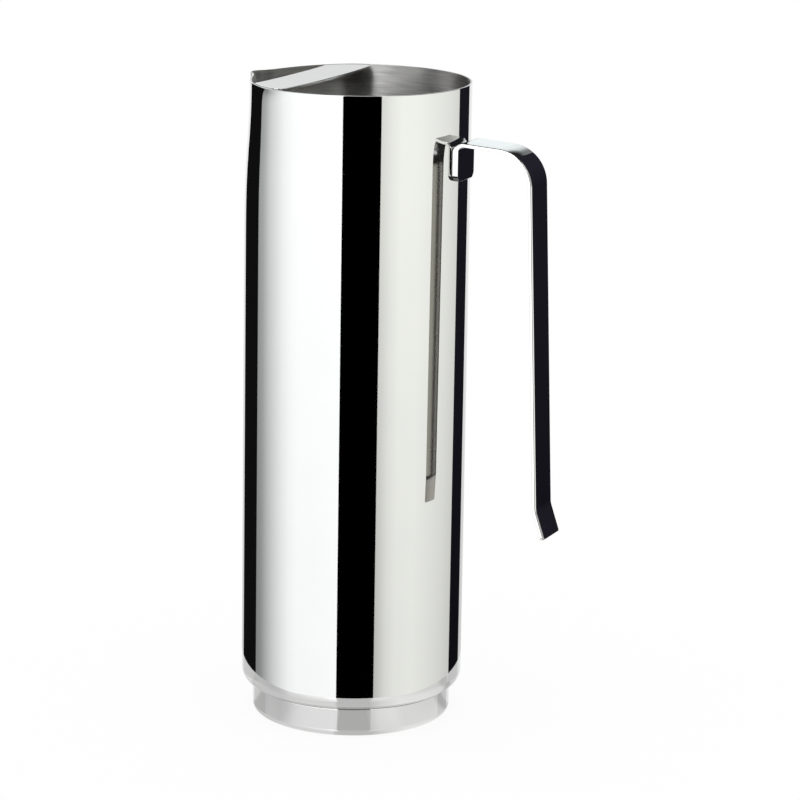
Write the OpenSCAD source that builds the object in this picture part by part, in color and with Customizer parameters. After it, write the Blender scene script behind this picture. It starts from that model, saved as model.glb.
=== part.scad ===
// Cocktail pitcher of polished steel sheet: a tall tube body with a pinched pouring lip, a floor
// welded in above a turned-in edge, a pressed foot ring, a flat ice guard across the mouth and
// one bent strap as the handle, welded on by its tab and free at its lower end.
// Lengths are in millimetres and angles in degrees. The origin lies on the body's axis at table
// level, +Z is up, the handle points along +X and the pouring lip along -X.

/* [Body] */
// Outside diameter of the body
body_d = 90; // [76:1:104]
// Height of the rim above the table
body_h = 260; // [220:1:300]
// Thickness of the body's sheet
wall = 0.8; // [0.6:0.1:1.4]
// Outside radius of the rounded lower corner
corner_r = 6.1; // [4:0.1:9]
// Width of the flat edge that is turned in under the floor
turn_in_w = 5; // [3:0.5:10]

/* [Pouring lip] */
// Reach of the lip's tip past the body's circle
tip_reach = 2.5; // [1:0.1:5]
// Half angle of the tip, seen from the axis
tip_angle = 7; // [5:0.5:11]
// Depth by which the flanks beside the tip are drawn in
flank_depth = 2; // [1:0.1:4]
// Angle from the tip to the middle of a flank, seen from the axis
flank_angle = 24; // [18:1:30]
// Half angle of a flank, seen from the axis
flank_spread = 23; // [16:1:28]
// Distance below the rim at which the lip has faded to about a third
lip_fade_h = 30; // [16:1:50]

/* [Floor] */
// Thickness of the floor's sheet
floor_t = 0.8; // [0.6:0.1:1.4]
// Width of the floor's flat edge, which lies on the body's turned-in edge
floor_edge_w = 7; // [5:0.5:10]
// Width of the slope between the floor's edge and its middle
floor_slope_w = 4; // [2:0.5:8]
// Height of the floor's middle above its edge
floor_rise = 1.5; // [0.5:0.1:3]

/* [Foot] */
// Step from the body's side in to the foot's side
foot_step = 4.6; // [3:0.2:8]
// Height of the foot ring
foot_h = 11.8; // [8:0.2:18]
// Thickness of the foot's sheet
foot_t = 0.8; // [0.6:0.1:1]
// Width of the two flanges that are turned in from the foot's side
foot_flange_w = 5; // [4:0.5:8]
// Outside radius of the foot's lower edge
foot_low_r = 2.9; // [1.2:0.1:3.5]
// Outside radius of the foot's upper edge
foot_top_r = 1.2; // [1.2:0.1:2.5]

/* [Ice guard] */
// Width of the guard's strip
guard_w = 17.6; // [14:0.2:24]
// Distance from the body's axis to the strip's inner edge
guard_offset = 11.6; // [8:0.2:18]
// Thickness of the guard's sheet
guard_t = 1; // [0.6:0.1:1.6]
// Height of the flanges that are turned down at the strip's ends
guard_flange_h = 7; // [4:0.5:12]

/* [Handle] */
// Width of the strap
strap_w = 16; // [12:0.5:22]
// Thickness of the strap
strap_t = 1.4; // [1:0.1:2.5]
// Distance from the rim down to the strap's top at the body
strap_drop = 20.3; // [14:0.1:40]
// Height of the tab, from the strap's top to the tab's lower end
tab_h = 15.7; // [11:0.1:24]
// Radius of the tab's lower corners
tab_corner_r = 3; // [0.5:0.1:4]
// Inside radius of the bend between the tab and the top run
tab_bend_r = 2.1; // [0.5:0.1:3]
// Angle by which the top run falls away from level
top_fall = 3.4; // [0:0.1:8]
// Clear width for the fingers between the body and the upper end of the grip
grip_gap = 31; // [26:0.2:45]
// Inside radius of the bend between the top run and the grip
grip_bend_r = 13.6; // [8:0.2:20]
// Angle by which the grip leans out from the vertical
grip_lean = 2.3; // [0:0.1:6]
// Height of the strap's free end above the table
free_end_z = 84; // [60:1:120]
// Height over which the free end is kicked outwards
kick_h = 11.4; // [8:0.2:20]
// Angle between the kicked end and the vertical
kick_angle = 18.9; // [10:0.1:40]
// Inside radius of the bend at the kick
kick_bend_r = 9; // [4:0.5:16]
// Radius of the corners at the free end
end_corner_r = 1; // [0.5:0.1:4]

/* [Hidden] */

// Smoothness of revolved faces
$fn = 128;
// Number of sections around the body, and how far they crowd towards the lip
around = 108;
crowd_share = 0.6;
// Rows of the lip below the rim, and how far they go down as a share of the fading height
lip_rows = 11;
lip_span_share = 2.2;
// How steeply the lip fades around its fading height
lip_fade_power = 2.4;
// Steps along the body's rounded corner, along a bend, along a rounded end and across the strap
corner_steps = 4;
bend_steps = 8;
end_steps = 4;
across = 8;
// Gap left for the weld between two curved faces
weld_gap = 0.1;
// Gap between the floor's edge and the start of the body's rounded corner
floor_gap = 0.2;
// How far a cut runs past what it cuts
overrun = 1;

mirror_steel = [0.86, 0.87, 0.87];
satin_steel = [0.62, 0.61, 0.59];

body_r = body_d / 2;
corner_centre = [body_r - corner_r, foot_h + corner_r];
turn_in_r = body_r - corner_r - turn_in_w;
floor_r = body_r - corner_r - floor_gap;
floor_z = foot_h + wall;
foot_r = body_r - foot_step;

// Corners of the strap's middle line, in the plane of the handle, before they are bent round
tab_x = body_r + weld_gap + strap_t / 2;
strap_z = body_h - strap_drop - strap_t / 2;
grip_x = body_r + grip_gap + strap_t / 2;
kick_z = free_end_z + kick_h;
tab_low = [tab_x, body_h - strap_drop - tab_h];
tab_bend = [tab_x, strap_z];
grip_bend = [grip_x, strap_z - (grip_x - tab_x) * tan(top_fall)];
kick_bend = [grip_x + (grip_bend.y - kick_z) * tan(grip_lean), kick_z];
free_end = [kick_bend.x + kick_h * tan(kick_angle), free_end_z];
// Headings of the strap's straight runs from the tab to the free end, from +X towards +Z
tab_heading = 90;
top_heading = -top_fall;
grip_heading = grip_lean - 90;
kick_heading = kick_angle - 90;

// Bell curve of height 1 that falls away on both sides of 0
function bell(x) = exp(-x * x);

// Share of the lip that is left at height z: whole at the rim, about a third at the fading height below it
function lip_share(z) = exp(-pow(max(body_h - z, 0) / lip_fade_h, lip_fade_power));

// How far the lip moves the wall out, at angle a from the tip and height z
function lip_out(a, z) =
    let (dip = bell(flank_angle / flank_spread) * 2)
    let (tip = (tip_reach + flank_depth * dip) * bell(a / tip_angle))
    let (flanks = bell((a - flank_angle) / flank_spread) + bell((a + flank_angle) / flank_spread))
    lip_share(z) * (tip - flank_depth * flanks);

// Angles from the tip of the sections around the body, closest together at the lip
function section_angles() = [
    for (i = [0 : around - 1])
        let (turn = 360 * i / around - 180)
        turn - crowd_share * sin(turn) * 180 / PI
];

// Point at radius r and height z, at angle a from the lip's tip
function around_axis(r, a, z) = [-r * cos(a), -r * sin(a), z];

// Half of the shell's section at angle a, from its turned-in edge up to the rim, moved in by the
// depth d from the outer face
function shell_side(a, d) = [
    around_axis(turn_in_r, a, foot_h + d),
    for (i = [0 : corner_steps])
        let (turn = 90 * (i / corner_steps - 1))
        let (p = corner_centre + (corner_r - d) * [cos(turn), sin(turn)])
        around_axis(p.x, a, p.y),
    for (i = [0 : lip_rows])
        let (z = body_h - lip_span_share * lip_fade_h * (1 - i / lip_rows))
        around_axis(body_r - d + lip_out(a, z), a, z)
];

// Closed section of the shell at angle a
function shell_section(a) =
    let (outer = shell_side(a, 0))
    let (inner = shell_side(a, wall))
    concat(outer, [for (i = [len(inner) - 1 : -1 : 0]) inner[i]]);

// Unit vectors along a heading and square to it on its left
function along(heading) = [cos(heading), sin(heading)];
function beside(heading) = [-sin(heading), cos(heading)];

// Stations [point, heading, half width] round a bend of middle radius r at a corner
function bend_stations(corner, from, to, r) =
    let (side = sign(from - to))
    let (start = corner - r * tan(abs(to - from) / 2) * along(from))
    let (centre = start - side * r * beside(from))
    [
        for (i = [0 : bend_steps])
            let (heading = from + (to - from) * i / bend_steps)
            [centre + side * r * beside(heading), heading, strap_w / 2]
    ];

// Stations of the whole strap, from the tab's rounded lower end to the rounded free end
function strap_stations() = [
    for (i = [0 : end_steps])
        let (turn = 90 * i / end_steps)
        [
            tab_low + tab_corner_r * (1 - cos(turn)) * along(tab_heading),
            tab_heading,
            strap_w / 2 - tab_corner_r * (1 - sin(turn))
        ],
    each bend_stations(tab_bend, tab_heading, top_heading, tab_bend_r + strap_t / 2),
    each bend_stations(grip_bend, top_heading, grip_heading, grip_bend_r + strap_t / 2),
    each bend_stations(kick_bend, grip_heading, kick_heading, kick_bend_r + strap_t / 2),
    for (i = [0 : end_steps])
        let (turn = 90 * i / end_steps)
        [
            free_end - end_corner_r * (1 - sin(turn)) * along(kick_heading),
            kick_heading,
            strap_w / 2 - end_corner_r * (1 - cos(turn))
        ]
];

// Point on a face of the strap at a station, y off the middle. The face with sign 1 is the tab's
// seat, which is bowed to the body there, and becomes the strap's top and the grip's outer face
function strap_point(station, face, y) =
    let (p = station[0] + face * strap_t / 2 * beside(station[1]))
    let (bow_share = pow(max(face * sin(station[1]), 0), 2))
    [p.x + bow_share * (sqrt(p.x * p.x - y * y) - p.x), y, p.y];

// Closed section of the strap at a station, along one face and back along the other
function strap_section(station) =
    let (half = station[2])
    [
        for (j = [0 : across])
            strap_point(station, 1, half * (2 * j / across - 1)),
        for (j = [across : -1 : 0])
            strap_point(station, -1, half * (2 * j / across - 1))
    ];

// Solid through a row of closed sections, either joined into a ring or capped at its two ends
module loft(sections, ring) {
    n = len(sections[0]);
    count = len(sections);
    sides = [
        for (i = [0 : ring ? count - 1 : count - 2], j = [0 : n - 1])
            let (next = (i + 1) % count)
            let (a = i * n + j)
            let (b = i * n + (j + 1) % n)
            let (c = next * n + (j + 1) % n)
            let (d = next * n + j)
            each [[a, b, c], [a, c, d]]
    ];
    last = (count - 1) * n;
    caps = ring ? [] : [
        for (j = [0 : n / 2 - 2])
            let (k = n - 1 - j)
            each [
                [j + 1, j, k],
                [j + 1, k, k - 1],
                [last + j, last + j + 1, last + k],
                [last + j + 1, last + k - 1, last + k]
            ]
    ];
    polyhedron([for (section = sections) each section], concat(sides, caps));
}

// Area inside the mouth at the rim, drawn in from the wall by an inset
module mouth_area(inset) {
    polygon([
        for (a = section_angles())
            let (p = around_axis(body_r + lip_out(a, body_h) - wall - inset, a, body_h))
            [p.x, p.y]
    ]);
}

// Band across the mouth that the guard takes up
module guard_band() {
    translate([-guard_offset - guard_w, -body_r])
        square([guard_w, body_d]);
}

// Half section of a channel that opens to the axis, with its two outer corners rounded
module channel_section(r, h, depth, low_r, top_r) {
    translate([r - depth, 0])
        square([depth - low_r, low_r]);
    translate([r - depth, low_r])
        square([depth, h - low_r - top_r]);
    translate([r - depth, h - top_r])
        square([depth - top_r, top_r]);
    translate([r - low_r, low_r])
        circle(low_r);
    translate([r - top_r, h - top_r])
        circle(top_r);
}

module body_shell() {
    color(mirror_steel)
        loft([for (a = section_angles()) shell_section(a)], true);
}

module floor_pan() {
    slope_r = floor_r - floor_edge_w;
    middle_r = slope_r - floor_slope_w;
    color(satin_steel)
        translate([0, 0, floor_z])
            rotate_extrude()
                polygon([
                    [0, floor_rise],
                    [middle_r, floor_rise],
                    [slope_r, 0],
                    [floor_r, 0],
                    [floor_r, floor_t],
                    [slope_r, floor_t],
                    [middle_r, floor_rise + floor_t],
                    [0, floor_rise + floor_t]
                ]);
}

module foot_ring() {
    color(mirror_steel)
        rotate_extrude()
            difference() {
                channel_section(foot_r, foot_h, foot_flange_w, foot_low_r, foot_top_r);
                translate([0, foot_t])
                    channel_section(
                        foot_r - foot_t,
                        foot_h - 2 * foot_t,
                        foot_flange_w - foot_t + overrun,
                        foot_low_r - foot_t,
                        foot_top_r - foot_t
                    );
            }
}

module ice_guard() {
    color(mirror_steel) {
        translate([0, 0, body_h - guard_t])
            linear_extrude(guard_t)
                intersection() {
                    mouth_area(weld_gap);
                    guard_band();
                }
        translate([0, 0, body_h - guard_flange_h])
            linear_extrude(guard_flange_h)
                intersection() {
                    difference() {
                        mouth_area(weld_gap);
                        mouth_area(weld_gap + guard_t);
                    }
                    guard_band();
                }
    }
}

module handle_strap() {
    color(mirror_steel)
        loft([for (station = strap_stations()) strap_section(station)], false);
}

body_shell();
floor_pan();
foot_ring();
ice_guard();
handle_strap();
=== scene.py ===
"""Looks of a cocktail pitcher of polished steel sheet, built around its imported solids.

Lengths are in metres and angles in degrees. The origin lies on the body's axis at table level, +Z is up, the
handle points along +X and the pouring lip along -X. Each piece is a surface on a grid of two parameters.
"""
import math

import bpy
import numpy as np
from mathutils import Matrix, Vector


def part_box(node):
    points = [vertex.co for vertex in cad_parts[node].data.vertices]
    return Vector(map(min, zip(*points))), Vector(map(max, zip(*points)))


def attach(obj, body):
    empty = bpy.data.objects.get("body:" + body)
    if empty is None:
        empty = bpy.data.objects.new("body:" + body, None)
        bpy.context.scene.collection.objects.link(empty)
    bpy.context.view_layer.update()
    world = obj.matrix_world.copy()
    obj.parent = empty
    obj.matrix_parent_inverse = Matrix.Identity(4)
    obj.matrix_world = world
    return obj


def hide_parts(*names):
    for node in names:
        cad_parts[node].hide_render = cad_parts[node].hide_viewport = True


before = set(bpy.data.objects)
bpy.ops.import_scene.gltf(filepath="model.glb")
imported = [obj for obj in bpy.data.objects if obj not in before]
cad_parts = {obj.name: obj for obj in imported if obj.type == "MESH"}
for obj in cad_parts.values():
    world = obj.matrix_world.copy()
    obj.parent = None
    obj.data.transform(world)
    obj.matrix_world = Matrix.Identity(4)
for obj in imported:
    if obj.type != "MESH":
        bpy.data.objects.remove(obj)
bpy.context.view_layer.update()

MM = 0.001

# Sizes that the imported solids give
shell_low, shell_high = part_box("body_shell")
floor_low, floor_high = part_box("floor_pan")
foot_low, foot_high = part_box("foot_ring")
guard_low, guard_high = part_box("ice_guard")
strap_low, strap_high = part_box("handle_strap")
BODY_R = shell_high.x
RIM_Z = shell_high.z
FOOT_H = foot_high.z
TIP_REACH = -shell_low.x - BODY_R

# Sheet thicknesses, and the small radius on edges that were cut and then polished
WALL = 0.8 * MM
FLOOR_T = 0.8 * MM
FOOT_T = 0.8 * MM
GUARD_T = 1.0 * MM
STRAP_T = 1.4 * MM
EDGE_R = 0.22 * MM
SAME_POINT = 0.0001 * MM

# Body: rounded lower corner, turned-in edge and pinched lip
CORNER_R = 6.1 * MM
TURN_IN_W = 5 * MM
TIP_ANGLE = 7
FLANK_DEPTH = 2 * MM
FLANK_ANGLE = 24
FLANK_SPREAD = 23
LIP_FADE_H = 30 * MM
LIP_FADE_POWER = 2.4
LIP_CROWD = 0.6

# Slight swelling of the rim where the ends of the ice guard are welded to it
SWELL_OUT = 0.75 * MM
SWELL_ANGLE = 62
SWELL_SPREAD = 10
SWELL_FADE_H = 2 * MM

# Floor and foot
FLOOR_EDGE_W = 7 * MM
FLOOR_SLOPE_W = 4 * MM
FLOOR_BEND_R = 3 * MM
FOOT_FLANGE_W = 5 * MM
FOOT_LOW_R = 2.9 * MM
FOOT_TOP_R = 0.3 * MM

# Ice guard
GUARD_BEND_R = 1.5 * MM
GUARD_FLARE = 1.1 * MM
GUARD_TAPER = 2.2 * MM
GUARD_SKEW = 0.8 * MM
GUARD_CORNER_R = 4 * MM
GUARD_CORNER_START = 0.9
FLANGE_THINNED = 0.93
WELD_GAP = 0.1 * MM

# Handle strap
TAB_H = 15.7 * MM
TAB_CORNER_R = 3 * MM
TAB_BEND_R = 2.1 * MM
TOP_FALL = 3.4
GRIP_GAP = 31 * MM
GRIP_BEND_R = 13.6 * MM
GRIP_LEAN = 2.3
KICK_H = 11.4 * MM
KICK_ANGLE = 18.9
KICK_BEND_R = 9 * MM
END_CORNER_R = 1 * MM
STRAP_EDGE_R = 0.6 * MM
STRAP_SHARP_R = 0.05 * MM
STRAP_END_R = 0.25 * MM
STRAP_FALL = 0.12 * MM
TAB_STAND = 0.3 * MM
TAB_LIFT = 0.06 * MM

# Where a piece's finish changes: turn of the guard's flange, and heading of the strap at the grip
GUARD_SATIN_TURN = 60
GRIP_STARTS = -60

# Fineness of the meshes, and the extra points that keep a flat beside a round flat
BODY_COLUMNS = 320
RING_COLUMNS = 256
MOUTH_STEPS = 400
GUARD_FLAT_STEPS = 20
GUARD_CORNER_STEPS = 17
GUARD_BEND_STEPS = 13
GUARD_FLANGE_STEPS = 6
STRAP_END_STEPS = 9
BODY_STEP = 8 * MM
FLOOR_STEP = 2 * MM
FOOT_STEP = 1.5 * MM
GUARD_STEP = 1.2 * MM
STRAP_STEP_ACROSS = 1 * MM
STRAP_STEP_ALONG = 4 * MM
LIP_ROWS = np.concatenate([np.geomspace(0.5, 14, 16), np.linspace(17.5, 70, 16)]) * MM
RIM_BAND = 0.01 * MM
FLAT_BESIDE = 0.12 * MM
RUN_BESIDE = 0.2 * MM
END_INSET = 0.05 * MM

# Camera
VIEW_AZIMUTH = 25
VIEW_DISTANCE = 1.33967
VIEW_HEIGHT = 0.45166
VIEW_PITCH = 13.504
VIEW_YAW = 0.785
VIEW_ROLL = 0.934
LENS_MM = 153.38
SENSOR_MM = 36
CLIP_START = 0.01


# Outlines and meshes

def rounded_corner(before, corner, after, radius, steps=10):
    """Points of one corner of an outline, rounded by a circle that touches both of its sides.

    The circle's centre lies on the corner's bisector at radius / sin(half angle). One more point on each
    side, a little way beyond the round, keeps the flat beside it flat.
    """
    back = (before - corner) / np.linalg.norm(before - corner)
    ahead = (after - corner) / np.linalg.norm(after - corner)
    half = math.acos(np.clip(back @ ahead, -1, 1)) / 2
    reach = radius / math.tan(half)
    middle = (back + ahead) / np.linalg.norm(back + ahead)
    centre = corner + middle * radius / math.sin(half)
    first = corner + back * reach - centre
    across = corner + ahead * reach - centre
    square = across - first * (first @ across) / radius**2
    square = square / np.linalg.norm(square) * radius
    turn = np.linspace(0, math.pi - 2 * half, steps + 1)[:, None]
    round_points = centre + first * np.cos(turn) + square * np.sin(turn)
    return np.vstack([
        corner + back * (reach + FLAT_BESIDE),
        round_points,
        corner + ahead * (reach + FLAT_BESIDE),
    ])


def rounded_outline(corners, radii, steps=10):
    """Closed outline through corners, each rounded by its own radius."""
    corners = np.array(corners, float)
    around = zip(np.roll(corners, 1, axis=0), corners, np.roll(corners, -1, axis=0), radii)
    return np.vstack([rounded_corner(*place, steps) for place in around])


def filled_in(outline, step, closed=True):
    """The same outline with each stretch that is longer than step cut into equal parts.

    The first two columns are the place, by which a stretch is measured. Any others are carried along.
    """
    points = np.vstack([outline, outline[:1]]) if closed else outline
    lengths = np.linalg.norm(np.diff(points[:, :2], axis=0), axis=1)
    parts = np.maximum(np.ceil(lengths / step), 1).astype(int)
    stretches = [np.linspace(*ends, n, endpoint=False) for *ends, n in zip(points, points[1:], parts)]
    return np.vstack(stretches if closed else [*stretches, points[-1:]])


def with_heights(outline, heights):
    """The same closed outline of (radius, height), with points added where its sides pass the heights."""
    ahead = np.roll(outline, -1, axis=0)
    full = []
    for here, there in zip(outline, ahead):
        low, high = sorted((here[1], there[1]))
        between = heights[(heights > low + SAME_POINT) & (heights < high - SAME_POINT)]
        share = np.sort((between - here[1]) / (there[1] - here[1])) if len(between) else between
        full.append(here[None])
        full.append(here + share[:, None] * (there - here))
    return np.vstack(full)


def grid_mesh(name, points, close_rows=True, close_columns=True, solid=True, slots=0):
    """Smooth mesh of quads between neighbouring points of a grid of shape (rows, columns, 3).

    A grid can close on itself in either direction. Points that fall together at a pole or a cap become one
    point, and a solid's faces are turned outwards by the sign of the volume inside them. slots gives the
    material slot of the face that starts at each row and column.
    """
    rows, columns = points.shape[:2]
    index = np.arange(rows * columns).reshape(rows, columns)
    index = np.vstack([index, index[:1]]) if close_rows else index
    index = np.hstack([index, index[:, :1]]) if close_columns else index
    corners = [index[:-1, :-1], index[1:, :-1], index[1:, 1:], index[:-1, 1:]]
    quads = np.stack(corners, axis=-1).reshape(-1, 4)
    slots = np.broadcast_to(slots, (len(index) - 1, index.shape[1] - 1)).ravel()
    flat = points.reshape(-1, 3)
    _, first, same = np.unique(np.round(flat / SAME_POINT), axis=0, return_index=True, return_inverse=True)
    flat = flat[np.sort(first)]
    quads = np.argsort(np.argsort(first))[same.reshape(-1)][quads]
    a, b, c, d = (flat[quads[:, k]] for k in range(4))
    volume = np.sum(np.cross(b - a, c - a) * a) + np.sum(np.cross(c - a, d - a) * a)
    if solid and volume < 0:
        quads = quads[:, ::-1]
    faces = [list(dict.fromkeys(quad)) for quad in quads.tolist()]
    whole = [len(face) > 2 for face in faces]
    mesh = bpy.data.meshes.new(name)
    mesh.from_pydata(flat.tolist(), [], [face for face, kept in zip(faces, whole) if kept])
    mesh.polygons.foreach_set("material_index", slots[whole].astype(np.int32))
    mesh.shade_smooth()
    return mesh


def new_object(name, mesh, *materials):
    """Object at the origin for a mesh whose place is in its points."""
    made = bpy.data.objects.new(name, mesh)
    for material in materials:
        mesh.materials.append(material)
    bpy.context.scene.collection.objects.link(made)
    return made


def finished_piece(name, mesh, node, slot, *materials):
    """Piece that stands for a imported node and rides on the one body."""
    made = new_object(name, mesh, *materials)
    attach(made, "root")
    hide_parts(node)
    return made


def revolved(outline):
    """Grid of a closed outline of (radius, height) carried once around the axis."""
    turn = np.linspace(0, 2 * math.pi, RING_COLUMNS, endpoint=False)
    r, z = outline[:, 0, None], outline[:, 1, None]
    return np.stack([r * np.cos(turn), r * np.sin(turn), z + 0 * turn], axis=-1)


# Body

def bell(x):
    """Bell curve of height 1 that falls away on both sides of 0."""
    return np.exp(-x * x)


def lip_out(a, z):
    """How far the lip moves the wall out at angle a from the tip and height z.

    A narrow bell at the tip minus one wide bell on each flank, times exp(-(depth / fading height)^power),
    plus a bell at each end of the ice guard times exp(-depth / its own fading height).
    """
    depth = np.maximum(RIM_Z - z, 0)
    dip = 2 * bell(FLANK_ANGLE / FLANK_SPREAD)
    tip = (TIP_REACH + FLANK_DEPTH * dip) * bell(a / TIP_ANGLE)
    flanks = bell((a - FLANK_ANGLE) / FLANK_SPREAD) + bell((a + FLANK_ANGLE) / FLANK_SPREAD)
    share = np.exp(-((depth / LIP_FADE_H) ** LIP_FADE_POWER))
    ends = bell((a - SWELL_ANGLE) / SWELL_SPREAD) + bell((a + SWELL_ANGLE) / SWELL_SPREAD)
    return share * (tip - FLANK_DEPTH * flanks) + SWELL_OUT * ends * np.exp(-depth / SWELL_FADE_H)


def around_tip():
    """Angles from the lip's tip for the columns around the body, closest together at the tip."""
    turn = np.linspace(-180, 180, BODY_COLUMNS, endpoint=False)
    return turn - LIP_CROWD * np.degrees(np.sin(np.radians(turn)))


def body_shell(outside, inside):
    """The sheet's closed section of (radius, height), carried around the axis and moved out by lip_out."""
    turn_in_r = BODY_R - CORNER_R - TURN_IN_W
    section = rounded_outline(
        [
            (turn_in_r, FOOT_H),
            (BODY_R, FOOT_H),
            (BODY_R, RIM_Z),
            (BODY_R - WALL, RIM_Z),
            (BODY_R - WALL, FOOT_H + WALL),
            (turn_in_r, FOOT_H + WALL),
        ],
        [EDGE_R, CORNER_R, EDGE_R, EDGE_R, CORNER_R - WALL, EDGE_R],
        steps=20,
    )
    section = with_heights(filled_in(section, BODY_STEP), RIM_Z - LIP_ROWS)
    top_row = np.flatnonzero(section[:, 1] > RIM_Z - RIM_BAND).max()
    slots = np.where(np.arange(len(section)) > top_row, 1, 0)[:, None]
    a = around_tip()
    z = section[:, 1, None]
    r = section[:, 0, None] + lip_out(a, z)
    turn = np.radians(a)
    points = np.stack([-r * np.cos(turn), -r * np.sin(turn), z + 0 * turn], axis=-1)
    mesh = grid_mesh("body_shell_sheet", points, slots=slots)
    return finished_piece("body_shell_sheet", mesh, "body_shell", "body_steel", outside, inside)


# Floor and foot

def floor_pan(steel):
    """Pressed disc: an outline with a raised middle and softly bent slope, carried around the axis."""
    low, high = floor_low.z, floor_high.z
    rise = high - low - FLOOR_T
    edge_r = floor_high.x
    slope_r = edge_r - FLOOR_EDGE_W
    middle_r = slope_r - FLOOR_SLOPE_W
    bent = rounded_outline(
        [
            (middle_r, low + rise),
            (slope_r, low),
            (edge_r, low),
            (edge_r, low + FLOOR_T),
            (slope_r, low + FLOOR_T),
            (middle_r, high),
            (0, high),
            (0, low + rise),
        ],
        [FLOOR_BEND_R, FLOOR_BEND_R, EDGE_R, EDGE_R, FLOOR_BEND_R, FLOOR_BEND_R, EDGE_R, EDGE_R],
    )
    bent[:, 0] = np.where(bent[:, 0] < 2 * EDGE_R, 0, bent[:, 0])
    mesh = grid_mesh("floor_pan_disc", revolved(filled_in(bent, FLOOR_STEP)))
    return finished_piece("floor_pan_disc", mesh, "floor_pan", "floor_steel", steel)


def foot_ring(steel):
    """Channel that opens to the axis: a closed outline with rounded outer corners, carried around it."""
    r, h, t = foot_high.x, FOOT_H, FOOT_T
    inner_r = r - FOOT_FLANGE_W
    section = rounded_outline(
        [
            (inner_r, 0),
            (r, 0),
            (r, h),
            (inner_r, h),
            (inner_r, h - t),
            (r - t, h - t),
            (r - t, t),
            (inner_r, t),
        ],
        [EDGE_R, FOOT_LOW_R, FOOT_TOP_R, EDGE_R, EDGE_R, EDGE_R, FOOT_LOW_R - t, EDGE_R],
    )
    mesh = grid_mesh("foot_ring_channel", revolved(filled_in(section, FOOT_STEP)))
    return finished_piece("foot_ring_channel", mesh, "foot_ring", "foot_steel", steel)


# Ice guard

def mouth_half_width(x, z):
    """Half width of the mouth at each x and at height z, by the lip's formula for the inside of the wall."""
    a = np.linspace(0, 90, MOUTH_STEPS)
    r = BODY_R - WALL - WELD_GAP + lip_out(a, z)
    turn = np.radians(a)
    return np.interp(x, -r * np.cos(turn), r * np.sin(turn))


def ice_guard(steel, satin):
    """Rounded strip section of (x, depth), carried across the mouth and down the wall at both ends.

    With half width Y(x), bend radius R and depth n below the top face, a station has its share of the flat
    run, a turn and a drop: y = share (Y - R) + (R - n) sin(turn), z = rim - R + (R - n) cos(turn) - drop.
    Towards the ends the outer edge flares by share^3 and the inner edge tapers by share^2, into a rounded
    corner. In the turn the strip is thinned by sin(turn)^2, so that the flange lies close along the wall.
    """
    section = rounded_outline(
        [(guard_low.x, 0), (guard_high.x, 0), (guard_high.x, GUARD_T), (guard_low.x, GUARD_T)],
        [EDGE_R, EDGE_R, EDGE_R, EDGE_R],
        steps=5,
    )
    section = filled_in(section, GUARD_STEP)
    flange = RIM_Z - guard_low.z - GUARD_BEND_R
    corner = np.radians(np.linspace(0, 90, GUARD_CORNER_STEPS))
    near_end = 1 - (1 - GUARD_CORNER_START) * np.cos(corner)
    flat = np.concatenate([np.linspace(0, GUARD_CORNER_START, GUARD_FLAT_STEPS)[:-1], near_end])
    turns = np.linspace(0, 90, GUARD_BEND_STEPS)[1:]
    drops = np.append(np.linspace(0, flange - END_INSET, GUARD_FLANGE_STEPS)[1:], flange)
    share = np.concatenate([flat, np.ones(len(turns) + len(drops) + 1)])
    turn = np.concatenate([0 * flat, turns, np.full(len(drops) + 1, 90)])
    drop = np.concatenate([0 * flat, 0 * turns, drops, drops[-1:]])
    side = np.concatenate([-np.ones(len(share)), np.ones(len(share) - 1)])
    order = np.concatenate([np.arange(len(share))[::-1], np.arange(1, len(share))])
    share, turn, drop = share[order], np.radians(turn[order]), drop[order]
    depth = np.repeat(section[None, :, 1], len(order), axis=0)
    depth[[0, -1]] = GUARD_T / 2
    depth = depth * (1 - FLANGE_THINNED * np.sin(turn[:, None]) ** 2)
    x = np.repeat(section[None, :, 0], len(order), axis=0)
    share, turn, drop, side = share[:, None], turn[:, None], drop[:, None], side[:, None]
    outer_share = (guard_high.x - x) / (guard_high.x - guard_low.x)
    past = np.clip((share - GUARD_CORNER_START) / (1 - GUARD_CORNER_START), 0, 1)
    cut_back = GUARD_CORNER_R * (1 - np.sqrt(1 - past**2))
    x = x - outer_share * GUARD_FLARE * share**3 - (1 - outer_share) * (GUARD_TAPER * share**2 + cut_back)
    x = x + GUARD_SKEW * side * share
    level = RIM_Z - GUARD_BEND_R * (1 - np.cos(turn[:, 0])) - drop[:, 0]
    half = np.array([mouth_half_width(*place) for place in zip(x, level)])
    y = side * (share * (half - GUARD_BEND_R) + (GUARD_BEND_R - depth) * np.sin(turn))
    z = RIM_Z - GUARD_BEND_R + (GUARD_BEND_R - depth) * np.cos(turn) - drop
    slots = np.where(turn[:-1] > math.radians(GUARD_SATIN_TURN), 1, 0)
    mesh = grid_mesh("ice_guard_strip", np.stack([x, y, z], axis=-1), close_rows=False, slots=slots)
    return finished_piece("ice_guard_strip", mesh, "ice_guard", "guard_steel", steel, satin)


# Handle

def along(heading):
    """Unit vector along a heading in the handle's plane, from +X towards +Z."""
    return np.array([math.cos(math.radians(heading)), math.sin(math.radians(heading))])


def bend(corner, start, end, radius, steps=20):
    """Stations (x, z, heading) round a bend that touches both straight runs, and one more on each side."""
    reach = radius * math.tan(math.radians(abs(end - start)) / 2)
    side = math.copysign(1, start - end)
    first = corner - reach * along(start)
    centre = first - side * radius * along(start + 90)
    headings = np.linspace(start, end, steps + 1)
    turn = np.radians(headings + 90)
    points = centre + side * radius * np.column_stack([np.cos(turn), np.sin(turn)])
    stations = np.column_stack([points, headings])
    before = [*(first - RUN_BESIDE * along(start)), start]
    after = [*(corner + (reach + RUN_BESIDE) * along(end)), end]
    return np.vstack([before, stations, after])


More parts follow.
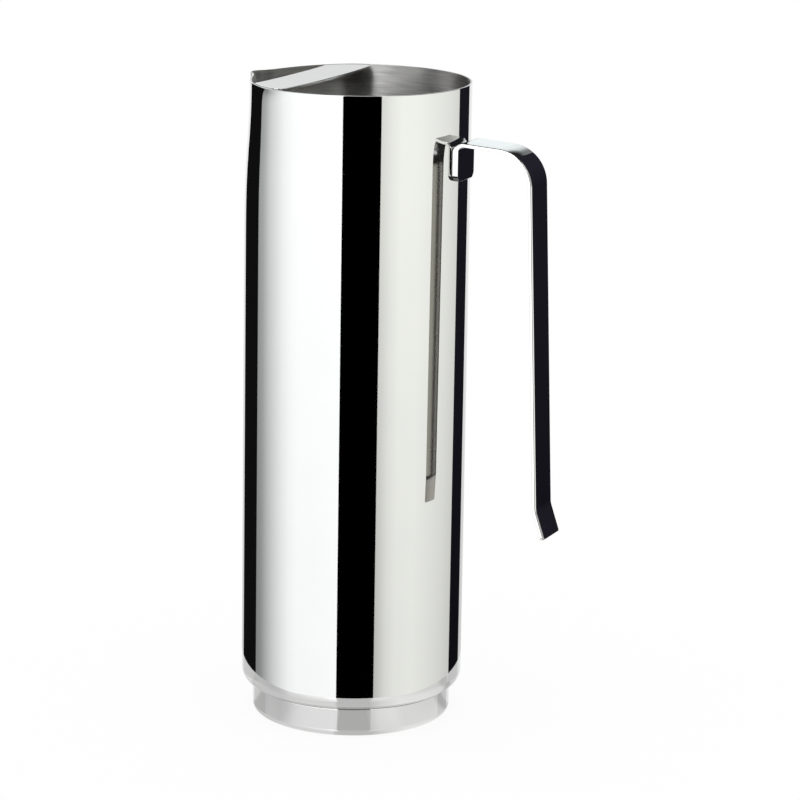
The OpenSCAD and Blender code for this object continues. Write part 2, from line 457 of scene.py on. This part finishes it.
def lost_at(run, radius):
    """What a round of a given radius has taken off at a run from its end: r - sqrt(r^2 - (r - run)^2)."""
    left = np.clip(radius - run, 0, radius)
    return radius - np.sqrt(radius**2 - left**2)


def rounded_end(point, heading, radius, inwards):
    """Stations of an end with rounded corners and edges, closed by a flat cap that runs into one point.

    A station is (x, z, heading, width lost on each side, thickness lost on each side).
    """
    turn = np.radians(np.linspace(0, 90, STRAP_END_STEPS))
    run = np.union1d(STRAP_END_R * (1 - np.cos(turn)), radius * (1 - np.cos(turn)))
    places = point + inwards * run[:, None] * along(heading)
    headings = np.full(len(run), heading)
    rows = np.column_stack([places, headings, lost_at(run, radius), lost_at(run, STRAP_END_R)])
    cap = np.repeat(rows[:1], 2, axis=0)
    cap[0, 3:] = strap_high.y, STRAP_T / 2
    cap[1, 4] = STRAP_END_R + END_INSET
    rows = np.vstack([cap, rows])
    return rows if inwards > 0 else rows[::-1]


def strap_stations():
    """Stations of the strap's middle line, from the welded tab to the kicked free end."""
    tab_x = BODY_R + WELD_GAP + TAB_STAND + STRAP_T / 2
    top_z = strap_high.z - STRAP_T / 2
    grip_x = BODY_R + GRIP_GAP + STRAP_T / 2
    free_z = strap_low.z + STRAP_T / 2 * math.sin(math.radians(KICK_ANGLE))
    kick_z = free_z + KICK_H
    tab_low = np.array([tab_x, strap_high.z - TAB_H])
    tab_bend = np.array([tab_x, top_z])
    grip_bend = np.array([grip_x, top_z - (grip_x - tab_x) * math.tan(math.radians(TOP_FALL))])
    kick_x = grip_x + (grip_bend[1] - kick_z) * math.tan(math.radians(GRIP_LEAN))
    kick_bend = np.array([kick_x, kick_z])
    free_end = np.array([kick_x + KICK_H * math.tan(math.radians(KICK_ANGLE)), free_z])
    grip_heading = GRIP_LEAN - 90
    kick_heading = KICK_ANGLE - 90
    bends = np.vstack([
        bend(tab_bend, 90, -TOP_FALL, TAB_BEND_R + STRAP_T / 2),
        bend(grip_bend, -TOP_FALL, grip_heading, GRIP_BEND_R + STRAP_T / 2, 40),
        bend(kick_bend, grip_heading, kick_heading, KICK_BEND_R + STRAP_T / 2),
    ])
    return np.vstack([
        rounded_end(tab_low, 90, TAB_CORNER_R, 1),
        np.hstack([bends, np.zeros((len(bends), 2))]),
        rounded_end(free_end, kick_heading, END_CORNER_R, -1),
    ])


def handle_strap(outside, grip, edge, under):
    """Rounded strap section of (y, n), carried along the bent middle line and square to it.

    A point is the station plus n along the left of its heading. Beyond the tab the outer face falls by y^2
    on the side of -Y, where its edge is rounded. On the tab the seat, at n = half the thickness, is bowed to
    the body and lifts off it towards its edges: x falls by p - sqrt(p^2 - y^2) and rises with y^4, times the
    share of n and of the tab, which is the square of sin(heading).
    """
    half_w = strap_high.y
    half_t = STRAP_T / 2
    corners = [(-half_w, half_t), (half_w, half_t), (half_w, -half_t), (-half_w, -half_t)]
    rounded = rounded_outline(corners, [STRAP_EDGE_R, STRAP_SHARP_R, STRAP_SHARP_R, STRAP_SHARP_R], steps=6)
    sharp = rounded_outline(corners, [STRAP_SHARP_R] * 4, steps=6)
    run_y, run_n, tab_y, tab_n = filled_in(np.hstack([rounded, sharp]), STRAP_STEP_ACROSS).T[:, :, None]
    stations = filled_in(strap_stations(), STRAP_STEP_ALONG, closed=False)
    px, pz, heading, lost_w, lost_t = stations.T[:, None]
    turn = np.radians(heading)
    on_tab = np.clip(np.sin(turn), 0, 1) ** 2
    across = (run_y + on_tab * (tab_y - run_y)) / half_w
    level = run_n + on_tab * (tab_n - run_n)
    y = across * (half_w - lost_w)
    fall = STRAP_FALL * np.clip(-across, 0, 1) ** 2
    rise = np.clip(level / half_t, 0, 1) * (STRAP_FALL - fall) * (1 - on_tab)
    n = (level + rise) * (1 - lost_t / half_t)
    x = px - n * np.sin(turn)
    z = pz + n * np.cos(turn)
    bow = on_tab * (1 + n / half_t) / 2
    x = x + bow * (np.sqrt(x * x - y * y) - x - TAB_STAND + TAB_LIFT * (y / half_w) ** 4)
    ahead = np.roll(run_n, -1, axis=0)
    is_outside = np.minimum(run_n, ahead) > half_t - STRAP_EDGE_R / 2
    is_inside = np.maximum(run_n, ahead) < STRAP_EDGE_R / 2 - half_t
    is_grip = heading[:, :-1] < GRIP_STARTS
    # Slot 1, the inside of the grip, takes the steel painted darker as shade; slot 2, the side edges, takes
    # the steel painted paler as a highlight
    slots = np.select([is_outside, is_inside & is_grip, is_inside & ~is_grip], [0, 1, 3], 2)
    points = np.stack([x, y, z], axis=-1)
    mesh = grid_mesh("handle_strap_bent", points, close_columns=False, slots=slots)
    steels = outside, grip, edge, under
    return finished_piece("handle_strap_bent", mesh, "handle_strap", "handle_steel", *steels)


# Shader values

class Value:
    """One value in a shader. Operators on it add Math nodes, so that a formula reads as on paper."""

    def __init__(self, shader, socket):
        self.shader = shader
        self.socket = socket

    def _maths(self, operation, first, second):
        return self.shader.node("ShaderNodeMath", {"operation": operation}, {0: first, 1: second})

    def __add__(self, other):
        return self._maths("ADD", self, other)

    def __radd__(self, other):
        return self._maths("ADD", other, self)

    def __sub__(self, other):
        return self._maths("SUBTRACT", self, other)

    def __rsub__(self, other):
        return self._maths("SUBTRACT", other, self)

    def __mul__(self, other):
        return self._maths("MULTIPLY", self, other)

    def __rmul__(self, other):
        return self._maths("MULTIPLY", other, self)


class Shader:
    """A node tree, filled by one method that adds any node."""

    def __init__(self, tree):
        self.tree = tree
        tree.nodes.clear()

    def node(self, kind, settings=None, inputs=None, output=0):
        """Adds a node, applies its settings, then its socket values or links, and returns an output."""
        made = self.tree.nodes.new(kind)
        for name, value in (settings or {}).items():
            setattr(made, name, value)
        for name, value in (inputs or {}).items():
            if isinstance(value, Value):
                self.tree.links.new(value.socket, made.inputs[name])
            else:
                made.inputs[name].default_value = value
        return Value(self, made.outputs[output]) if len(made.outputs) else None

    def stretched(self, scale):
        """Object coordinates, stretched by one factor along each axis."""
        place = self.node("ShaderNodeTexCoord", output="Object")
        return self.node("ShaderNodeMapping", {}, {"Vector": place, "Scale": scale})

    def noise(self, scale, detail=3, vector=(1, 1, 1)):
        """Noise from 0 to 1 with a given number of features to the metre along each axis."""
        stretch = [scale * k for k in vector]
        inputs = {"Vector": self.stretched(stretch), "Scale": 1, "Detail": detail}
        return self.node("ShaderNodeTexNoise", {}, inputs)

    def mixed(self, share, first, second):
        """Colour between two colours by a share."""
        inputs = {"Factor": share, "A": first, "B": second}
        return self.node("ShaderNodeMix", {"data_type": "RGBA"}, inputs, output="Result")


def new_material(name):
    """Material with an empty node tree, and the shader that fills it."""
    material = bpy.data.materials.new(name)
    material.use_nodes = True
    return material, Shader(material.node_tree)


# Colours of the steel: mirror; the dull inside of the strap at its grip, rougher and painted darker and
# warmer as shade from the body beside it; the strap's side edges, painted paler as a highlight; and satin
# inside of the body
STEEL_PALE = (0.755, 0.755, 0.745, 1)
STEEL_DEEP = (0.715, 0.718, 0.715, 1)
DULL_SHADE_PALE = (0.58, 0.56, 0.51, 1)
DULL_SHADE_DEEP = (0.54, 0.52, 0.475, 1)
EDGE_HIGHLIGHT_PALE = (0.94, 0.94, 0.93, 1)
EDGE_HIGHLIGHT_DEEP = (0.9, 0.9, 0.895, 1)
SATIN_PALE = (0.74, 0.73, 0.715, 1)
SATIN_DEEP = (0.4, 0.395, 0.385, 1)


def mirror_steel(name, lines, smooth=0.02, pale=STEEL_PALE, deep=STEEL_DEEP):
    """Polished stainless steel: a faint cloud in its colour, polishing lines and a thin haze in its gloss.

    lines gives the features to the metre of the polishing lines along each axis. smooth is the least
    roughness.
    """
    material, shader = new_material(name)
    cloud = shader.noise(35, detail=4)
    haze = shader.noise(120, detail=5)
    polish = shader.noise(1, detail=2, vector=lines)
    rough = smooth + 0.012 * haze * haze + 0.01 * polish
    bump = shader.node(
        "ShaderNodeBump", {}, {"Strength": 0.015, "Distance": 0.02 * MM, "Height": polish}
    )
    surface = shader.node(
        "ShaderNodeBsdfPrincipled",
        {},
        {
            "Base Color": shader.mixed(cloud, deep, pale),
            "Metallic": 1,
            "Roughness": rough,
            "Normal": bump,
        },
    )
    shader.node("ShaderNodeOutputMaterial", {}, {"Surface": surface})
    return material


def satin_steel(name):
    """Satin stainless steel, brushed around the axis: streaks in colour and gloss, upright highlights."""
    material, shader = new_material(name)
    fine = shader.noise(1, detail=3, vector=(100, 100, 1100))
    broad = shader.noise(1, detail=3, vector=(25, 25, 350))
    streak = 0.6 * fine + 0.4 * broad
    bump = shader.node(
        "ShaderNodeBump", {}, {"Strength": 0.12, "Distance": 0.05 * MM, "Height": streak}
    )
    surface = shader.node(
        "ShaderNodeBsdfPrincipled",
        {},
        {
            "Base Color": shader.mixed(2.5 * streak - 0.75, SATIN_DEEP, SATIN_PALE),
            "Metallic": 1,
            "Roughness": 0.4 + 0.06 * streak,
            "Anisotropic": 1,
            "Anisotropic Rotation": 0.25,
            "Normal": bump,
        },
    )
    shader.node("ShaderNodeOutputMaterial", {}, {"Surface": surface})
    return material


# Studio

PLATE_ROWS = 3
PLATE_COLUMNS = 360
CARD_ROWS = 40
CARD_COLUMNS = 72
CARD_R = 20


def add_camera():
    """Camera at the photograph's place: turn about the axis, distance and height, yaw, pitch and roll."""
    data = bpy.data.cameras.new("camera")
    data.lens = LENS_MM
    data.sensor_width = SENSOR_MM
    data.clip_start = CLIP_START
    camera = bpy.data.objects.new("camera", data)
    bpy.context.scene.collection.objects.link(camera)
    camera.matrix_world = (
        Matrix.Rotation(math.radians(VIEW_AZIMUTH), 4, "Z")
        @ Matrix.Translation((0, -VIEW_DISTANCE, VIEW_HEIGHT))
        @ Matrix.Rotation(math.radians(-VIEW_YAW), 4, "Z")
        @ Matrix.Rotation(math.radians(90 - VIEW_PITCH), 4, "X")
        @ Matrix.Rotation(math.radians(VIEW_ROLL), 4, "Z")
    )
    bpy.context.scene.camera = camera


def add_world():
    """White dome: an even strength of 1 for the camera, for soft light and for what the steel shows."""
    world = bpy.data.worlds.new("white_dome")
    bpy.context.scene.world = world
    world.use_nodes = True
    shader = Shader(world.node_tree)
    sky = shader.node("ShaderNodeBackground", {}, {"Color": (1, 1, 1, 1), "Strength": 1})
    shader.node("ShaderNodeOutputWorld", {}, {"Surface": sky})


def floor_material():
    """Pale floor that keeps the object's soft shadow: mostly plain white, the rest lit by the dome."""
    material, shader = new_material("pale_floor")
    lit = shader.node("ShaderNodeBsdfDiffuse", {}, {"Color": (1, 1, 1, 1)})
    white = shader.node("ShaderNodeEmission", {}, {"Color": (1, 1, 1, 1), "Strength": 1})
    surface = shader.node("ShaderNodeMixShader", {}, {0: 0.9, 1: lit, 2: white})
    shader.node("ShaderNodeOutputMaterial", {}, {"Surface": surface})
    return material


def toned_emission(shader, tint):
    """Emission whose brightness is the tone stored on the points."""
    tone = shader.node("ShaderNodeAttribute", {"attribute_name": "tone"}, output="Fac")
    colour = shader.node("ShaderNodeVectorMath", {"operation": "SCALE"}, {"Vector": tint, "Scale": tone})
    return shader.node("ShaderNodeEmission", {}, {"Color": colour, "Strength": 1})


def table_material():
    """Glossy pale table top: the tones of soft light under a clear gloss that shows the cards."""
    material, shader = new_material("glossy_table")
    pale = toned_emission(shader, (1, 1, 1))
    gloss = shader.node("ShaderNodeBsdfGlossy", {}, {"Color": (1, 1, 1, 1), "Roughness": 0.03})
    share = shader.node("ShaderNodeFresnel", {}, {"IOR": 1.45})
    surface = shader.node("ShaderNodeMixShader", {}, {0: share, 1: pale, 2: gloss})
    shader.node("ShaderNodeOutputMaterial", {}, {"Surface": surface})
    return material


def card_material(name, tint):
    """Card that shines with its tones."""
    material, shader = new_material(name)
    shader.node("ShaderNodeOutputMaterial", {}, {"Surface": toned_emission(shader, tint)})
    return material


def around_camera(azimuth):
    """World angle in radians of an azimuth that is counted from the camera to its right."""
    return np.radians(azimuth + VIEW_AZIMUTH - 90)


def set_tones(mesh, tones):
    """Stores one brightness for each point of a mesh."""
    shade = mesh.attributes.new("tone", "FLOAT", "POINT")
    shade.data.foreach_set("value", np.ravel(tones).astype(np.float32))


def show_to_steel_alone(made):
    """Hides an object from the camera and from soft light, so that only reflections have it."""
    made.visible_camera = False
    made.visible_diffuse = False
    made.visible_shadow = False


def plate(name, inner_r, outer_r, z, material, tones):
    """Flat ring about the axis: a grid of radius and turn, with a brightness at each of some azimuths."""
    azimuth = np.linspace(-180, 180, PLATE_COLUMNS, endpoint=False)
    turn = around_camera(azimuth)
    r = np.linspace(inner_r, outer_r, PLATE_ROWS)[:, None]
    points = np.stack([r * np.cos(turn), r * np.sin(turn), z + 0 * r * turn], axis=-1)
    mesh = grid_mesh(name, points, close_rows=False, solid=False)
    set_tones(mesh, np.tile(np.interp(azimuth, list(tones), list(tones.values())), PLATE_ROWS))
    made = new_object(name, mesh, material)
    return made


# Azimuths at which the cards meet
BACK_LEFT = -157.5
LEFT_OUTER = -119.6
LEFT_INNER = -15.3
RIGHT_INNER = 23.4
RIGHT_OUTER = 123.9
BACK_RIGHT = 152.3

# Elevations at which the cards begin, end or change: low end, what the wall shows at its foot and at its
# rim, what the table and the open mouth show, top of the panels, two steps behind the pitcher, straight up
LOW_VIEW = -28
FOOT_VIEW = -18.4
RIM_VIEW = -8.9
TABLE_VIEW = 19
OPEN_VIEW = 22
PANEL_TOP = 50
BACK_STEP = 10
BACK_TOP = 25.9
OVERHEAD = 89.9


def card(name, low, high, azimuths, levels, tint=(1, 1, 1)):
    """Patch of a sphere about the pitcher, shown to the steel alone.

    A point is the radius times (cos e cos a, cos e sin a, sin e), with the azimuth a counted from the camera
    to its right and the elevation e from low to high. levels gives, for one or more elevations, one
    brightness or one for each azimuth, and is blended between them.
    """
    turn = np.linspace(azimuths[0], azimuths[-1], CARD_COLUMNS)
    rise = np.union1d(np.linspace(low, high, CARD_ROWS), list(levels))
    rise = rise[(rise >= low) & (rise <= high)]
    full = [np.broadcast_to(tones, len(azimuths)) for tones in levels.values()]
    rows = np.array([np.interp(turn, azimuths, tones) for tones in full])
    tone = np.array([np.interp(rise, list(levels), column) for column in rows.T]).T
    a, e = around_camera(turn), np.radians(rise[:, None])
    points = CARD_R * np.stack([np.cos(e) * np.cos(a), np.cos(e) * np.sin(a), np.sin(e) + 0 * a], axis=-1)
    mesh = grid_mesh(name, points, close_rows=False, close_columns=False, solid=False)
    set_tones(mesh, tone)
    made = new_object(name, mesh, card_material(name, tint))
    show_to_steel_alone(made)
    return made


FLOOR_HOLE_R = 0.1 * MM
FLOOR_R = 12
FLOOR_Z = -0.02 * MM
TABLE_INNER_R = 20 * MM
TABLE_OUTER_R = 95 * MM
TABLE_Z = -0.01 * MM
TABLE_TONES = {
    -180: 0.88,
    -98: 0.88,
    -92: 0.66,
    -74: 0.67,
    -55: 0.72,
    -45: 0.84,
    -33: 0.88,
    -11: 0.88,
    -9: 0.66,
    13: 0.66,
    15: 0.73,
    22: 0.9,
    35: 1.05,
    55: 1.02,
    80: 0.9,
    87: 0.63,
    94: 0.63,
    98: 0.84,
    180: 0.84,
}


def add_ground():
    """Pale floor, which the steel doesn't see, and in its place a glossy table top around the foot."""
    floor = plate("pale_floor", FLOOR_HOLE_R, FLOOR_R, FLOOR_Z, floor_material(), {0: 1})
    floor.visible_glossy = False
    table = plate("glossy_table", TABLE_INNER_R, TABLE_OUTER_R, TABLE_Z, table_material(), TABLE_TONES)
    show_to_steel_alone(table)


def add_cards():
    """Light panels and dark flags around the pitcher, above it and below, which the steel shows."""
    front = [LEFT_INNER, RIGHT_INNER]
    back = [BACK_RIGHT, BACK_LEFT + 360]
    all_round = [-180, 179.99]
    card("front_flag", LOW_VIEW, PANEL_TOP, front, {TABLE_VIEW: 0, OPEN_VIEW: 0.35})
    left_rim = [0.42, 0.55, 0.84, 1.03, 1.24, 1.35, 1.4, 1.4, 1.41, 1.42, 1.42]
    left_table = [0.42, 0.6, 0.5, 0.35, 0.6, 1.1, 1.35, 1.4, 1.4, 1.4, 1.4]
    card(
        "left_panel",
        LOW_VIEW,
        PANEL_TOP,
        [LEFT_OUTER, -110, -100, -90, -80, -70, -60, -45, -30, -22, LEFT_INNER],
        {
            FOOT_VIEW: [0.26, 0.34, 0.56, 0.79, 0.99, 1.18, 1.27, 1.28, 1.29, 1.3, 1.3],
            RIM_VIEW: left_rim,
            -5: left_rim,
            2: left_table,
            TABLE_VIEW: left_table,
            OPEN_VIEW: [1.6, 1.1, 0.6, 0.35, 0.65, 1.8, 1.76, 2.8, 3.4, 5.4, 5.6],
        },
        (0.98, 0.99, 1),
    )
    right_rim = [0.92, 0.99, 1.1, 1.2, 1.185, 1.11, 1.02, 0.88]
    right_table = [0.92, 0.99, 1, 0.8, 0.3, 0.35, 0.5, 0.8]
    card(
        "right_panel",
        LOW_VIEW,
        PANEL_TOP,
        [RIGHT_INNER, 28, 35, 45, 65, 85, 105, RIGHT_OUTER],
        {
            FOOT_VIEW: [0.62, 0.73, 0.9, 1.02, 1.055, 0.975, 0.877, 0.74],
            RIM_VIEW: right_rim,
            -5: right_rim,
            2: right_table,
            TABLE_VIEW: right_table,
            OPEN_VIEW: [2.4, 2.2, 1.8, 0.8, 0.3, 0.35, 0.5, 0.8],
        },
        (0.99, 1, 0.955),
    )
    card(
        "left_flag",
        LOW_VIEW,
        PANEL_TOP,
        [BACK_LEFT, LEFT_OUTER],
        {TABLE_VIEW: 0.006, OPEN_VIEW: [0.3, 1.6]},
    )
    card(
        "right_flag",
        LOW_VIEW,
        PANEL_TOP,
        [RIGHT_OUTER, BACK_RIGHT],
        {FOOT_VIEW: 0.008, RIM_VIEW: 0.017, 15: 0.03},
        (0.7, 0.66, 1),
    )
    card(
        "back_panel",
        LOW_VIEW,
        BACK_STEP,
        back,
        {FOOT_VIEW: 0.66, RIM_VIEW: 0.97, 0: 0.95, 8: 0.8, BACK_STEP: 0.85},
    )
    card(
        "back_upper",
        BACK_STEP,
        BACK_TOP,
        back,
        {BACK_STEP: 0.9, 11.7: 1.12, 20.5: 1.05, 22.9: 0.8, 24.4: 0.25, BACK_TOP: 0.02},
        (0.94, 0.99, 1),
    )
    card("back_ceiling", BACK_TOP, PANEL_TOP, back, {BACK_TOP: 0.02})
    card("ceiling", PANEL_TOP, OVERHEAD, all_round, {58: 0.02, 66: 0.5})
    card(
        "low_flag",
        -OVERHEAD,
        LOW_VIEW,
        [all_round[0], -160, -145, 5, 20, all_round[1]],
        {-74: 0.5, -64: [0.03, 0.03, 0.5, 0.5, 0.03, 0.03], -54: 0.03},
    )


# Finishes, with the features to the metre of their polishing lines along each axis
turned_polish = (40, 40, 2600)
crosswise_polish = (1400, 50, 50)
lengthwise_polish = (60, 1800, 60)
body_mirror = mirror_steel("body_mirror_steel", turned_polish)
foot_mirror = mirror_steel("foot_mirror_steel", turned_polish)
guard_mirror = mirror_steel("guard_polished_steel", crosswise_polish, 0.08)
strap_mirror = mirror_steel("strap_mirror_steel", lengthwise_polish)
# Inside of the grip: rougher, with a darker, warmer colour that is painted shade from the body beside it
strap_dull_shaded = mirror_steel("strap_dull_steel", lengthwise_polish, 0.17, DULL_SHADE_PALE, DULL_SHADE_DEEP)
# The strap's side edges: a paler copy of the steel, a painted highlight
strap_edge_highlight = mirror_steel("strap_edge_steel", lengthwise_polish, 0.04, EDGE_HIGHLIGHT_PALE, EDGE_HIGHLIGHT_DEEP)
strap_under = mirror_steel("strap_under_steel", lengthwise_polish, 0.035)
satin = satin_steel("satin_steel")

# Pieces
body_shell(body_mirror, satin)
floor_pan(satin)
foot_ring(foot_mirror)
ice_guard(guard_mirror, satin)
handle_strap(strap_mirror, strap_dull_shaded, strap_edge_highlight, strap_under)

# Picture
add_camera()
add_world()
add_ground()
add_cards()
bpy.context.scene.view_settings.view_transform = "Standard"
